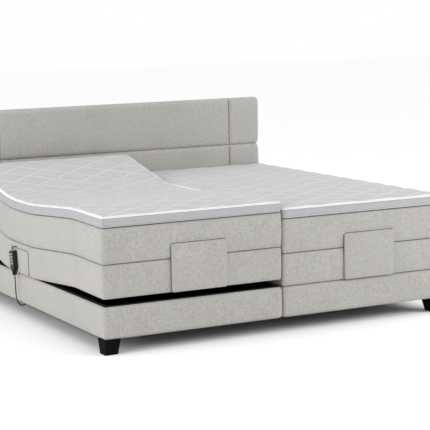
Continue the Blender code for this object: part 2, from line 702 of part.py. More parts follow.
def handset(parent):
    """Wired handset that hangs by a wire hook on the left side patch."""
    mount = add_empty("handset_place", HANDSET_CENTRE, parent)
    mount.rotation_euler.x = math.radians(HANDSET_TILT)
    half_w, half_l = HANDSET_WIDTH / 2, HANDSET_LENGTH / 2
    nose_w, nose_z = HANDSET_NOSE_WIDTH / 2, -half_l + HANDSET_NOSE_LENGTH
    tail_w, tail_z = HANDSET_TAIL_WIDTH / 2, -half_l - HANDSET_TAIL_LENGTH
    right_side = [(tail_w, tail_z), (nose_w, -half_l), (half_w, nose_z), (half_w, half_l - 0.006),
                  (half_w - 0.006, half_l)]
    outline = right_side + [(-y, z) for y, z in reversed(right_side)]
    shell = extrude_outlines("handset_shell", [outline], HANDSET_THICKNESS / 2, "YZ",
                             BLACK_PLASTIC, mount)
    bevel(shell, 0.003)
    face_x = -HANDSET_THICKNESS / 2
    depth, pocket_w, pocket_h = KEY_POCKET
    thick, key_w, key_h = KEY_SIZE
    for number, height in enumerate(KEY_HEIGHTS, 1):
        pocket = box("pocket", (face_x - 0.01, -pocket_w / 2, height - pocket_h / 2),
                     (face_x + depth, pocket_w / 2, height + pocket_h / 2), BLACK_PLASTIC, mount)
        boolean(shell, pocket, "DIFFERENCE")
        axis = add_empty("key_axis_%d" % number, (face_x - KEY_PROUD + thick, 0.0, height), mount)
        box("handset_key_%d" % number, (-thick, -key_w / 2, -key_h / 2), (0.0, key_w / 2, key_h / 2),
            GREY_PLASTIC, axis, 0.0010)
    foot_z, bend_z, top_z = half_l + 0.0030, half_l + 0.0100, half_l + 0.0200
    half_hook = [(0.0, 0.014, foot_z), (0.0, 0.0095, bend_z), (0.003, 0.0060, top_z - 0.001),
                 (0.010, 0.0048, top_z), (0.0182, 0.0042, top_z), (0.0200, 0.0028, top_z)]
    hook = [(x, -y, z) for x, y, z in half_hook] + [(x, y, z) for x, y, z in reversed(half_hook)]
    wire("handset_hook", hook, HOOK_WIRE_RADIUS, BLACK_STEEL, mount)


def cord(parent):
    """Handset cord, and its grommet in the bottom board of the left base."""
    wire("handset_cord", smooth_route(CORD_ROUTE, CORD_STEP), CORD_DIAMETER / 2, RUBBER, parent, 2)
    x, y = GROMMET_PLACE
    high = BOTTOM_BOARD_Z[0] - GAP
    cylinder("cord_grommet", (x, y, high - GROMMET_HEIGHT / 2), 0.0060, GROMMET_HEIGHT, "Z",
             RUBBER, parent, 16, 0.0090)


# ---------------------------------------------------------------- the whole bed

BED = add_empty("bed", BED_ORIGIN)
make_side(-1, "left", LEFT_BACK_ANGLE, LEFT_THIGH_ANGLE, BED)
make_side(1, "right", 0.0, 0.0, BED)
legs(BED)
for direction, end in ((-1, "left"), (1, "right")):
    side_patch("side_patch_" + end, direction, BED)
headboard(BED)
handset(BED)
cord(BED)
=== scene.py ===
import json
import math

import bpy
import numpy as np
from mathutils import Matrix, Vector


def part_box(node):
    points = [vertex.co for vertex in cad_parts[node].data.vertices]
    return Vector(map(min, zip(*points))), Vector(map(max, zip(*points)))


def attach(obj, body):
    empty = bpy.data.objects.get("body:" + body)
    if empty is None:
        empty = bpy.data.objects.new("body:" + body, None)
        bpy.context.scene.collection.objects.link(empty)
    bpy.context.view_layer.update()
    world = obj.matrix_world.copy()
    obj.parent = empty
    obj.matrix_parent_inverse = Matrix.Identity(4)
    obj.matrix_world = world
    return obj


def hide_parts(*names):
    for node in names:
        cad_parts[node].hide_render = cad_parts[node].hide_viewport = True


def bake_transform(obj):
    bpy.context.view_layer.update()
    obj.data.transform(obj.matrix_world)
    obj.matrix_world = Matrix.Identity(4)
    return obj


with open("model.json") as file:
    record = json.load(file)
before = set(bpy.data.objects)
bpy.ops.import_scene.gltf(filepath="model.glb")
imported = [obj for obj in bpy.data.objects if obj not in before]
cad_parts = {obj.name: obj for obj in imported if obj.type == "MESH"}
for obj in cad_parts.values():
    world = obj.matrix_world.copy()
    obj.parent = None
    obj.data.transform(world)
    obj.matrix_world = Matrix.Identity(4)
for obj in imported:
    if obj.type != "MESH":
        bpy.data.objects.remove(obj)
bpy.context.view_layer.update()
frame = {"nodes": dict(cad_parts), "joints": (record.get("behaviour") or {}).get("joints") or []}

# ---------------------------------------------------------------- places, all from the frame
ROOT = "bed"
BASE_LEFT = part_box("base_cover_left")
BASE_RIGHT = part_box("base_cover_right")
MIDDLE_X = (BASE_LEFT[0][0] + BASE_RIGHT[1][0]) / 2
FOOT_Y, HEAD_Y = BASE_RIGHT[0][1], BASE_RIGHT[1][1]
HALF_WIDTH = (BASE_RIGHT[1][0] - BASE_RIGHT[0][0]) / 2
BOX_Z = (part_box("box_seat_right")[0][2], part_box("box_seat_right")[1][2])
MATTRESS_Z = (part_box("mattress_seat_right")[0][2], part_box("mattress_seat_right")[1][2])
TOPPER_Z = (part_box("topper_seat_right")[0][2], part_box("topper_seat_right")[1][2])
JOINTS = {joint["name"]: joint for joint in frame["joints"]}
BACK_Y, HINGE_Z = JOINTS["right_back_lift"]["pos_m"][1:]
THIGH_Y = JOINTS["right_thigh_lift"]["pos_m"][1]
KNEE_Y = JOINTS["right_knee_bend"]["pos_m"][1]
SEAT_Y = (BACK_Y + THIGH_Y) / 2 - 0.065     # nothing bends here

# half lengths of the back, thigh and knee bends, at the hinges and at the lying surface
SHARP_BENDS = (0.12, 0.045, 0.035)
SOFT_BENDS = (0.27, 0.14, 0.10)
CALF_RATIO = 1.2


def smoothstep(t):
    t = np.clip(t, 0.0, 1.0)
    return t * t * (3.0 - 2.0 * t)


class Side:
    """One sleeping side: where it is, and how its flat length is bent as it stands."""

    def __init__(self, label, cover):
        self.label = label
        self.centre = (cover[0][0] + cover[1][0]) / 2
        self.outward = -1.0 if label == "left" else 1.0
        self.back = -JOINTS[label + "_back_lift"]["range_deg"][0]
        self.thigh = -JOINTS[label + "_thigh_lift"]["range_deg"][0]
        self.flat = np.linspace(FOOT_Y - 0.05, HEAD_Y + 0.05, 2101)
        self.lines = [self.bent_line(bends) for bends in (SHARP_BENDS, SOFT_BENDS)]

    def bent_line(self, bends):
        """Slope, Y and Z along the line through the hinges, with bends of these half lengths."""
        flat = self.flat
        back = self.back * smoothstep((flat - BACK_Y + bends[0]) / (2 * bends[0]))
        thigh = self.thigh * smoothstep((THIGH_Y + bends[1] - flat) / (2 * bends[1]))
        knee = CALF_RATIO * self.thigh * smoothstep((KNEE_Y + bends[2] - flat) / (2 * bends[2]))
        angle = np.radians(back - thigh + knee)
        step = flat[1] - flat[0]
        still = int(round((SEAT_Y - flat[0]) / step))
        along, up = (np.concatenate(([0.0], np.cumsum((slope[1:] + slope[:-1]) / 2 * step)))
                     for slope in (np.cos(angle), np.sin(angle)))
        return angle, along - along[still] + flat[still], up - up[still] + HINGE_Z

    def settle(self, points):
        """Points of the flat bed, moved to where they are as this side stands."""
        points = np.array(points, float)
        height = points[:, 2] - HINGE_Z
        placed = []
        for angles, ys, zs in self.lines:
            angle, y, z = (np.interp(points[:, 1], self.flat, line) for line in (angles, ys, zs))
            placed.append((y - height * np.sin(angle), z + height * np.cos(angle)))
        share = np.clip(height / (TOPPER_Z[1] - HINGE_Z), 0.0, 1.0)
        for axis in (0, 1):
            points[:, axis + 1] = placed[0][axis] * (1.0 - share) + placed[1][axis] * share
        return points


SIDES = (Side("left", BASE_LEFT), Side("right", BASE_RIGHT))

# ---------------------------------------------------------------- materials


def node_material(name, roughness, sheen=0.0, metallic=0.0, specular=0.5):
    """New material; returns it with its node tree and shader."""
    material = bpy.data.materials.new(name)
    material.use_nodes = True
    shader = material.node_tree.nodes["Principled BSDF"]
    shader.inputs["Roughness"].default_value = roughness
    shader.inputs["Sheen Weight"].default_value = sheen
    shader.inputs["Metallic"].default_value = metallic
    shader.inputs["Specular IOR Level"].default_value = specular
    return material, material.node_tree, shader


def place(tree):
    return tree.nodes.new("ShaderNodeTexCoord").outputs["Object"]


def turned(tree, vector, rotation=(0.0, 0.0, 0.0), scale=(1.0, 1.0, 1.0)):
    mapping = tree.nodes.new("ShaderNodeMapping")
    mapping.inputs["Rotation"].default_value = [math.radians(angle) for angle in rotation]
    mapping.inputs["Scale"].default_value = scale
    tree.links.new(vector, mapping.inputs["Vector"])
    return mapping.outputs["Vector"]


def noise(tree, vector, scale, detail=2.0, roughness=0.5):
    node = tree.nodes.new("ShaderNodeTexNoise")
    node.inputs["Scale"].default_value = scale
    node.inputs["Detail"].default_value = detail
    node.inputs["Roughness"].default_value = roughness
    tree.links.new(vector, node.inputs["Vector"])
    return node.outputs["Fac"]


def wave(tree, vector, scale, direction, distortion=0.0):
    node = tree.nodes.new("ShaderNodeTexWave")
    node.bands_direction = direction
    node.inputs["Scale"].default_value = scale
    node.inputs["Distortion"].default_value = distortion
    node.inputs["Detail"].default_value = 1.0
    tree.links.new(vector, node.inputs["Vector"])
    return node.outputs["Fac"]


def maths(tree, operation, first, second):
    node = tree.nodes.new("ShaderNodeMath")
    node.operation = operation
    for socket, value in zip(node.inputs, (first, second)):
        if isinstance(value, (int, float)):
            socket.default_value = value
        else:
            tree.links.new(value, socket)
    return node.outputs["Value"]


def ramp(tree, factor, *stops):
    """Colour ramp from (position, (r, g, b)) stops."""
    node = tree.nodes.new("ShaderNodeValToRGB")
    elements = node.color_ramp.elements
    while len(elements) < len(stops):
        elements.new(0.5)
    for element, (position, color) in zip(elements, stops):
        element.position = position
        element.color = (*color, 1.0)
    tree.links.new(factor, node.inputs["Fac"])
    return node.outputs["Color"]


def mixed(tree, factor, first, second, blend="MIX"):
    node = tree.nodes.new("ShaderNodeMix")
    node.data_type = "RGBA"
    node.blend_type = blend
    factor_socket, first_socket, second_socket = node.inputs[0], node.inputs[6], node.inputs[7]
    for socket, value in ((factor_socket, factor), (first_socket, first), (second_socket, second)):
        if isinstance(value, (int, float)):
            socket.default_value = value
        elif isinstance(value, tuple):
            socket.default_value = (*value, 1.0)
        else:
            tree.links.new(value, socket)
    return node.outputs[2]


def bump(tree, shader, height, distance, strength=1.0):
    node = tree.nodes.new("ShaderNodeBump")
    node.inputs["Distance"].default_value = distance
    node.inputs["Strength"].default_value = strength
    tree.links.new(height, node.inputs["Height"])
    tree.links.new(node.outputs["Normal"], shader.inputs["Normal"])


def woven_fabric():
    """Light warm grey linen weave: slubs along both threads, and slow shade changes."""
    material, tree, shader = node_material("upholstery_weave", 0.93, 0.12, specular=0.15)
    spot = place(tree)
    lying = noise(tree, turned(tree, spot, scale=(60.0, 60.0, 260.0)), 1.0, 2.0, 0.6)
    standing = noise(tree, turned(tree, spot, scale=(260.0, 260.0, 60.0)), 1.0, 2.0, 0.6)
    yarn = maths(tree, "MULTIPLY", maths(tree, "ADD", lying, standing), 0.5)
    broad = noise(tree, spot, 5.0, 2.0)
    light = ramp(tree, yarn, (0.34, (0.318, 0.309, 0.286)), (0.50, (0.402, 0.392, 0.366)),
                 (0.66, (0.478, 0.467, 0.438)))
    wide = ramp(tree, broad, (0.3, (0.94, 0.94, 0.94)), (0.7, (1.0, 1.0, 1.0)))
    tree.links.new(mixed(tree, 1.0, light, wide, "MULTIPLY"), shader.inputs["Base Color"])
    warp = wave(tree, turned(tree, spot, (0.0, 0.0, 8.0)), 190.0, "X", 1.5)
    weft = wave(tree, turned(tree, spot, (6.0, 0.0, 0.0)), 190.0, "Z", 1.5)
    weave = maths(tree, "MULTIPLY", warp, weft)
    bump(tree, shader, maths(tree, "ADD", weave, yarn), 0.0010, 0.5)
    return material


# a quilting line's half width, as a share of a cell
QUILT_LINE_SHARE = 0.026


def quilt_cover():
    """White knitted cover with paler stitching."""
    material, tree, shader = node_material("quilt_knit", 0.85, 0.3, specular=0.25)
    spot = place(tree)
    knit = wave(tree, turned(tree, spot, (0.0, 0.0, 45.0)), 160.0, "X", 2.0)
    fine = noise(tree, spot, 240.0, 2.0, 0.6)
    broad = noise(tree, spot, 7.0, 1.0)
    color = ramp(tree, fine, (0.30, (0.41, 0.412, 0.414)), (0.70, (0.485, 0.487, 0.49)))
    wide = ramp(tree, broad, (0.3, (0.95, 0.95, 0.96)), (0.7, (1.0, 1.0, 1.0)))
    color = mixed(tree, 1.0, color, wide, "MULTIPLY")
    cells = tree.nodes.new("ShaderNodeAttribute")
    cells.attribute_name = "quilt"
    split = tree.nodes.new("ShaderNodeSeparateXYZ")
    tree.links.new(cells.outputs["Vector"], split.inputs["Vector"])
    lines = [maths(tree, "PINGPONG", split.outputs[axis], 0.5) for axis in (0, 1)]
    near = maths(tree, "MULTIPLY", maths(tree, "MINIMUM", *lines), 1.0 / QUILT_LINE_SHARE)
    stitch = maths(tree, "SUBTRACT", 1.0, maths(tree, "MINIMUM", near, 1.0))
    stitch = maths(tree, "MULTIPLY", stitch, split.outputs[2])
    color = mixed(tree, stitch, color, (0.74, 0.74, 0.74))
    tree.links.new(color, shader.inputs["Base Color"])
    bump(tree, shader, maths(tree, "ADD", knit, fine), 0.0006, 0.5)
    return material


def mesh_border():
    """Grey spacer mesh with a fine lattice of lighter threads."""
    material, tree, shader = node_material("border_mesh", 0.8, 0.1, specular=0.3)
    spot = place(tree)
    first = wave(tree, turned(tree, spot, (45.0, 0.0, 35.0)), 60.0, "Z")
    second = wave(tree, turned(tree, spot, (-45.0, 0.0, -35.0)), 60.0, "Z")
    lattice = maths(tree, "MAXIMUM", first, second)
    fine = noise(tree, spot, 190.0, 2.0, 0.6)
    color = ramp(tree, lattice, (0.45, (0.27, 0.275, 0.28)), (0.95, (0.47, 0.475, 0.48)))
    speck = ramp(tree, fine, (0.3, (0.82, 0.82, 0.82)), (0.7, (1.0, 1.0, 1.0)))
    tree.links.new(mixed(tree, 1.0, color, speck, "MULTIPLY"), shader.inputs["Base Color"])
    bump(tree, shader, lattice, 0.0010, 0.7)
    return material


def plain_cloth(name, dark, pale, twill_scale=210.0):
    """Fine twill cloth between two grey tones."""
    material, tree, shader = node_material(name, 0.8, 0.2, specular=0.3)
    spot = place(tree)
    twill = wave(tree, turned(tree, spot, (0.0, 30.0, 45.0)), twill_scale, "X")
    fine = noise(tree, spot, 160.0, 2.0)
    color = ramp(tree, fine, (0.3, (dark, dark, dark * 1.01)), (0.7, (pale, pale, pale * 1.01)))
    tree.links.new(color, shader.inputs["Base Color"])
    bump(tree, shader, twill, 0.0005, 0.5)
    return material


def dark_surface(name, color, roughness, scale, depth, metallic=0.0, streak=1.0):
    """Near-black painted, lacquered or moulded surface with fine unevenness and pale wear."""
    material, tree, shader = node_material(name, roughness, metallic=metallic, specular=0.12)
    spot = turned(tree, place(tree), scale=(streak, streak, 1.0))
    grain = noise(tree, spot, scale, 4.0, 0.6)
    broad = noise(tree, place(tree), 9.0, 2.0)
    dark = tuple(channel * 0.7 for channel in color)
    pale = tuple(min(1.0, channel * 1.4 + 0.001) for channel in color)
    tone = ramp(tree, maths(tree, "MULTIPLY", maths(tree, "ADD", grain, broad), 0.5),
                (0.35, dark), (0.65, pale))
    tree.links.new(tone, shader.inputs["Base Color"])
    rough = tree.nodes.new("ShaderNodeMapRange")
    rough.inputs["To Min"].default_value = roughness - 0.08
    rough.inputs["To Max"].default_value = roughness + 0.10
    tree.links.new(broad, rough.inputs["Value"])
    tree.links.new(rough.outputs["Result"], shader.inputs["Roughness"])
    bump(tree, shader, grain, depth, 0.6)
    return material


FABRIC = woven_fabric()
QUILT = quilt_cover()
BORDER = mesh_border()
PIPING = plain_cloth("piping_tape", 0.34, 0.44)
# pale tape on the topper's top rim: a painted highlight of light catching its rounded edge
RIM_HIGHLIGHT = plain_cloth("painted_rim_highlight", 0.74, 0.84)
# near-black tubes along the panels' edges: painted shadow of the gaps round the panels
GAP_SHADOW = plain_cloth("painted_gap_shadow", 0.05, 0.09)
WOOD = dark_surface("black_lacquer_wood", (0.0006, 0.0006, 0.0006), 0.85, 120.0, 0.0004, streak=6.0)
BOARD = dark_surface("black_board_face", (0.016, 0.016, 0.016), 0.78, 260.0, 0.0003)
STEEL = dark_surface("black_powder_coat", (0.022, 0.022, 0.023), 0.45, 700.0, 0.0002, metallic=0.3)
PLASTIC = dark_surface("black_plastic_grain", (0.018, 0.018, 0.019), 0.48, 900.0, 0.0002)
KEYS = dark_surface("silver_key_plastic", (0.20, 0.205, 0.21), 0.40, 900.0, 0.0001)
SHEATH = dark_surface("cord_sheath", (0.015, 0.015, 0.015), 0.55, 500.0, 0.0001)

CAD_LOOKS = (("leg_", WOOD), ("base_frame_", BOARD), ("headboard_board", BOARD),
             ("headboard_bracket_", STEEL), ("frame_", STEEL), ("motor_housing_", PLASTIC),
             ("handset_shell", PLASTIC), ("handset_hook", STEEL), ("handset_key_", KEYS),
             ("cord_grommet", SHEATH))


def finish_cad_nodes():
    """Gives every CAD node that stays its detailed material."""
    for name, node in frame["nodes"].items():
        for start, material in CAD_LOOKS:
            if name.startswith(start):
                for material_slot in node.material_slots:
                    material_slot.link = "OBJECT"
                    material_slot.material = material
                break


# ---------------------------------------------------------------- mesh helpers


def levels(low, high, spacing, edge=0.0, edge_steps=0):
    """Grid lines from low to high, closer together within `edge` of both ends."""
    steps = int(round((high - low - 2 * edge) / spacing))
    inner = np.linspace(low + edge, high - edge, max(2, steps + 1))
    if not edge_steps:
        return inner
    turn = 1.0 - np.cos(np.linspace(0.0, math.pi / 2, edge_steps + 1))
    start = low + edge * turn
    return np.concatenate((start[:-1], inner, (low + high - start)[::-1][1:]))


def with_lines(values, *lines):
    """Grid lines with the nearest one moved onto each given value."""
    values = np.array(values)
    for line in lines:
        values[np.argmin(np.abs(values - line))] = line
    return values


def grid_shell(xs, ys, zs):
    """Points and outward quads of the surface of a box with the given grid lines."""
    counts = (len(xs), len(ys), len(zs))
    index, points, faces = {}, [], []

    def corner(i, j, k):
        key = (i, j, k)
        if key not in index:
            index[key] = len(points)
            points.append((xs[i], ys[j], zs[k]))
        return index[key]

    for axis in range(3):
        u, v = (axis + 1) % 3, (axis + 2) % 3
        for end in (0, counts[axis] - 1):
            for a in range(counts[u] - 1):
                for b in range(counts[v] - 1):
                    quad = []
                    for da, db in ((0, 0), (1, 0), (1, 1), (0, 1)):
                        cell = [0, 0, 0]
                        cell[axis], cell[u], cell[v] = end, a + da, b + db
                        quad.append(corner(*cell))
                    faces.append(quad if end else quad[::-1])
    return np.array(points), faces


def round_box(points, low, high, radii):
    """Rounds the edges of a box grid; `radii` are the roundings along X, Y and Z."""
    low, high, radii = np.array(low), np.array(high), np.array(radii)
    core = np.clip(points, low + radii, high - radii)
    offset = (points - core) / radii
    length = np.linalg.norm(offset, axis=1)
    reach = np.max(np.abs(offset), axis=1)
    scale = np.where(length > 1e-9, reach / np.maximum(length, 1e-9), 0.0)
    return core + offset * scale[:, None] * radii


def new_object(name, points, faces, *materials):
    mesh = bpy.data.meshes.new(name)
    mesh.from_pydata([tuple(point) for point in points], [], faces)
    mesh.update()
    mesh.shade_smooth()
    mesh.set_sharp_from_angle(angle=math.radians(50))
    for material in materials:
        mesh.materials.append(material)
    obj = bpy.data.objects.new(name, mesh)
    bpy.context.scene.collection.objects.link(obj)
    return obj


def wrinkles(points, scale, seed):
    """Smooth pseudo-random field in -1 to 1, the same on every run."""
    field = np.zeros(len(points))
    for octave in range(3):
        turn = seed * 1.7 + octave * 2.3
        direction = np.array((math.cos(turn), math.sin(turn * 1.3), math.sin(turn)))
        other = np.array((math.sin(turn * 2.1), math.cos(turn), math.cos(turn * 0.7)))
        factor = scale * (1.0 + 0.83 * octave)
        field += np.sin(points @ direction * factor + turn) * np.sin(points @ other * factor * 0.8)
    return field / 3.0


# ---------------------------------------------------------------- soft layers

# where a layer is split, between the bends; the same lines in every layer
SPLIT_BACK = SEAT_Y
SPLIT_KNEE = (THIGH_Y + KNEE_Y) / 2 - 0.03


def layer_pieces(name, side, low_z, high_z, spacing, rounding, z_lines, shape, bends, materials,
                 nodes, paint=None, rear=HEAD_Y):
    """Builds one layer of a side in three closed pieces that meet between the bends.

    `bends` gives a (start, end) pair for each piece; it is read but not used.
    `bends` are the lengths (start, end) over which the back, thigh and knee bends spread.
    """
    low = (side.centre - HALF_WIDTH, FOOT_Y, low_z)
    high = (side.centre + HALF_WIDTH, rear, high_z)
    xs = levels(low[0], high[0], spacing, rounding[0], 4)
    ys = with_lines(levels(low[1], high[1], spacing, rounding[1], 4), SPLIT_BACK, SPLIT_KNEE)
    spans = {"back": ys[ys >= SPLIT_BACK], "thigh": ys[(ys <= SPLIT_BACK) & (ys >= SPLIT_KNEE)],
             "calf": ys[ys <= SPLIT_KNEE]}
    pieces = []
    for part, span in spans.items():
        grid, faces = grid_shell(xs, span, z_lines)
        points = shape(round_box(grid, low, high, rounding), grid)
        obj = new_object(f"{name}_{part}_{side.label}", side.settle(points), faces, *materials)
        if paint:
            paint(obj, points, grid)
        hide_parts(*[node for node in nodes if node.split("_")[1] == part])
        start, end = bends[part]
        ends = side.settle(np.array(((side.centre, start, HINGE_Z), (side.centre, end, HINGE_Z))))
        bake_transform(obj)
        pieces.append(obj)
    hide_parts(*[node for node in nodes if node.split("_")[1] == "seat"])
    return pieces


def side_normals(grid, low, high):
    """Outward horizontal direction of the wall nearest to each grid point."""
    normals = np.zeros((len(grid), 3))
    for axis in (0, 1):
        normals[:, axis] += np.where(np.abs(grid[:, axis] - high[axis]) < 1e-6, 1.0, 0.0)
        normals[:, axis] -= np.where(np.abs(grid[:, axis] - low[axis]) < 1e-6, 1.0, 0.0)
    length = np.linalg.norm(normals, axis=1)
    return normals / np.maximum(length, 1.0)[:, None]


def padded_wall(side, low_z, high_z, bulge, seed, rear=HEAD_Y):
    """Shape function for a box or mattress: its walls swell between their edges."""
    low = (side.centre - HALF_WIDTH, FOOT_Y)
    high = (side.centre + HALF_WIDTH, rear)

    def shape(points, grid):
        share = np.clip((grid[:, 2] - low_z) / (high_z - low_z), 0.0, 1.0)
        swell = bulge * (1.0 - np.abs(2.0 * share - 1.0) ** 3)
        ripple = 0.0011 * wrinkles(grid, 17.0, seed) * (1.0 - np.abs(2.0 * share - 1.0))
        return points + side_normals(grid, low, high) * (swell + ripple - bulge * 0.35)[:, None]

    return shape


BOX_BENDS = {"back": (BACK_Y - 0.03, BACK_Y + 0.23), "thigh": (THIGH_Y + 0.02, THIGH_Y - 0.12),
             "calf": (KNEE_Y + 0.065, KNEE_Y - 0.065)}
TOP_BENDS = {"back": (BACK_Y - 0.28, BACK_Y + 0.32), "thigh": (THIGH_Y + 0.12, THIGH_Y - 0.22),
             "calf": (KNEE_Y + 0.205, KNEE_Y - 0.215)}


def section_nodes(layer, side):
    return [f"{layer}_{section}_{side.label}" for section in ("back", "seat", "thigh", "calf")]


def box_layer(side):
    low_z, high_z = BOX_Z
    z_lines = levels(low_z, high_z, 0.018, 0.004, 3)
    return layer_pieces("box_cover", side, low_z, high_z, 0.020, (0.018, 0.018, 0.004), z_lines,
                        padded_wall(side, low_z, high_z, 0.003, 1.0), BOX_BENDS, (FABRIC,),
                        section_nodes("box", side))


def mattress_layer(side):
    low_z, high_z = MATTRESS_Z
    z_lines = levels(low_z, high_z, 0.018, 0.004, 3)
    return layer_pieces("mattress_cover", side, low_z, high_z, 0.020, (0.018, 0.018, 0.004), z_lines,
                        padded_wall(side, low_z, high_z, 0.005, 2.0), TOP_BENDS, (FABRIC,),
                        section_nodes("mattress", side))


QUILT_CELL = (0.250, 0.170)      # width and length of a quilting diamond
QUILT_DEPTH = 0.0085
TOPPER_CROWN = 0.012
TOPPER_PROUD = 0.006          # the cover rises this much above its foam
HIGHLIGHT_RIM_WIDTH = 0.008            # width of the pale strip round the quilting: a painted highlight on the rounded rim


def quilt_coordinates(x, y):
    """Two numbers that are whole on the two families of quilting lines."""
    wander = 0.020 * np.sin(y * 4.0 * math.pi / QUILT_CELL[1])
    return (x / QUILT_CELL[0] + y / QUILT_CELL[1] + wander,
            x / QUILT_CELL[0] - y / QUILT_CELL[1] - wander)


def quilt_lines(x, y):
    """Distance to the nearest quilting line, as a share of a cell: 0 on a line, 1 in the middle."""
    near = [np.abs((value + 0.5) % 1.0 - 0.5) * 2.0 for value in quilt_coordinates(x, y)]
    return np.minimum(*near)


def topper_layer(side):
    low_z, high_z = TOPPER_Z[0], TOPPER_Z[1] + TOPPER_PROUD
    low = (side.centre - HALF_WIDTH, FOOT_Y)
    high = (side.centre + HALF_WIDTH, HEAD_Y)
    border = (low_z + 0.007, high_z - 0.006)
    z_lines = np.array([low_z, low_z + 0.0015, low_z + 0.0035, low_z + 0.0055, border[0],
                        low_z + 0.014, low_z + 0.0235, high_z - 0.014, border[1],
                        high_z - 0.0045, high_z - 0.003, high_z - 0.0015, high_z])

    def shape(points, grid):
        height = grid[:, 2] - low_z
        full = high_z - low_z
        share = np.clip(height / full, 0.0, 1.0)
        swell = 0.0035 * (1.0 - np.abs(2.0 * share - 1.0) ** 2.5)
        for line in (low_z + 0.0035, high_z - 0.003):
            swell = swell + 0.0030 * np.exp(-((grid[:, 2] - line) / 0.0022) ** 2)
        swell = swell - 0.0035
        moved = points + side_normals(grid, low, high) * swell[:, None]
        inset = np.minimum.reduce((grid[:, 0] - low[0], high[0] - grid[:, 0],
                                   grid[:, 1] - low[1], high[1] - grid[:, 1]))
        rise = TOPPER_CROWN * (1.0 - np.exp(-np.maximum(inset, 0.0) / 0.035))
        local_x = grid[:, 0] - side.centre
        line = quilt_lines(local_x, grid[:, 1] - FOOT_Y)
        puff = QUILT_DEPTH * (np.sqrt(np.clip(line * 2.2, 0.0, 1.0)) - 1.0)
        fade = np.clip(inset / 0.03, 0.0, 1.0)
        top = np.abs(grid[:, 2] - high_z) < 1e-6
        moved[:, 2] += np.where(top, rise + puff * fade, 0.0)
        return moved

    def paint(obj, points, grid):
        first, second = quilt_coordinates(grid[:, 0] - side.centre, grid[:, 1] - FOOT_Y)
        top = np.where(np.abs(grid[:, 2] - high_z) < 1e-6, 1.0, 0.0)
        attribute = obj.data.attributes.new("quilt", "FLOAT_VECTOR", "POINT")
        cells = np.stack((first, second, top), axis=1)
        attribute.data.foreach_set("vector", cells.astype(np.float32).ravel())
        for polygon in obj.data.polygons:
            heights = [grid[index][2] for index in polygon.vertices]
            middle = sum(heights) / len(heights)
            edge = min(min(grid[index][0] - low[0], high[0] - grid[index][0], grid[index][1] - low[1],
                           high[1] - grid[index][1]) for index in polygon.vertices)
            if border[0] < middle < border[1]:
                polygon.material_index = 1
            elif low_z + 0.0002 < middle < border[0]:
                polygon.material_index = 2
            # the strip along the top rim gets the painted highlight
            elif middle > border[1] and edge < HIGHLIGHT_RIM_WIDTH:
                polygon.material_index = 3

    return layer_pieces("topper_cover", side, low_z, high_z, 0.0105, (0.020, 0.020, 0.004), z_lines,
                        shape, TOP_BENDS, (QUILT, BORDER, PIPING, RIM_HIGHLIGHT),
                        section_nodes("topper", side),
                        paint)


# ---------------------------------------------------------------- bases


def rounded_loop(low, high, radius, steps, spacing):
    """Closed loop of (x, y, outward x, outward y) round a rectangle with rounded corners."""
    loop = []
    corners = (((high[0] - radius, low[1] + radius), -90.0),
               ((high[0] - radius, high[1] - radius), 0.0),
               ((low[0] + radius, high[1] - radius), 90.0),
               ((low[0] + radius, low[1] + radius), 180.0))
    for index, (centre, start) in enumerate(corners):
        for step in range(steps + 1):
            angle = math.radians(start + 90.0 * step / steps)
            loop.append((centre[0] + radius * math.cos(angle), centre[1] + radius * math.sin(angle),
                         math.cos(angle), math.sin(angle)))
        nxt, turn = corners[(index + 1) % 4][0], math.radians(start + 90.0)
        here = np.array(loop[-1][:2])
        there = np.array((nxt[0] + radius * math.cos(turn), nxt[1] + radius * math.sin(turn)))
        count = max(1, int(round(np.linalg.norm(there - here) / spacing)))
        for step in range(1, count):
            spot = here + (there - here) * step / count
            loop.append((spot[0], spot[1], math.cos(turn), math.sin(turn)))
    return loop


def base_band(side):
    """Upholstered band of a base: swollen outside, flat inside where it lies on the boards."""
    name = "base_cover_" + side.label
    low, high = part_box(name)
    thickness = 0.0112
    steps = 14
    between = [low[2] + (high[2] - low[2]) * (step / steps) for step in range(1, steps)]
    heights = [low[2], low[2] + 0.0015, low[2] + 0.005] + between
    heights += [high[2] - 0.005, high[2] - 0.0015, high[2]]
    heights = sorted(set(round(z, 5) for z in heights))
    offsets = []
    for z in heights:
        share = (z - low[2]) / (high[2] - low[2])
        edge = min(z - low[2], high[2] - z)
        round_off = 0.0095 * (1.0 - min(1.0, edge / 0.012)) ** 2
        offsets.append(0.0030 * (1.0 - abs(2.0 * share - 1.0) ** 3) - 0.0010 - round_off)
    loop = rounded_loop(low, high, 0.016, 6, 0.020)
    rows = list(zip(offsets, heights)) + [(-thickness, high[2]), (-thickness, low[2])]
    points, faces = [], []
    for offset, z in rows:
        for x, y, nx, ny in loop:
            ripple = 0.0
            if offset > -0.004:
                ripple = 0.0009 * math.sin(x * 14.0 + y * 11.0) * math.sin(z * 30.0 + y * 6.0)
            points.append((x + nx * (offset + ripple), y + ny * (offset + ripple), z))
    around, tall = len(loop), len(rows)
    for row in range(tall):
        for column in range(around):
            after, above = (column + 1) % around, (row + 1) % tall
            faces.append([row * around + column, row * around + after,
                          above * around + after, above * around + column])
    obj = new_object("base_band_" + side.label, points, faces, FABRIC)
    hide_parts(name)
    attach(obj, ROOT)
    return obj


# ---------------------------------------------------------------- sewn-on panels


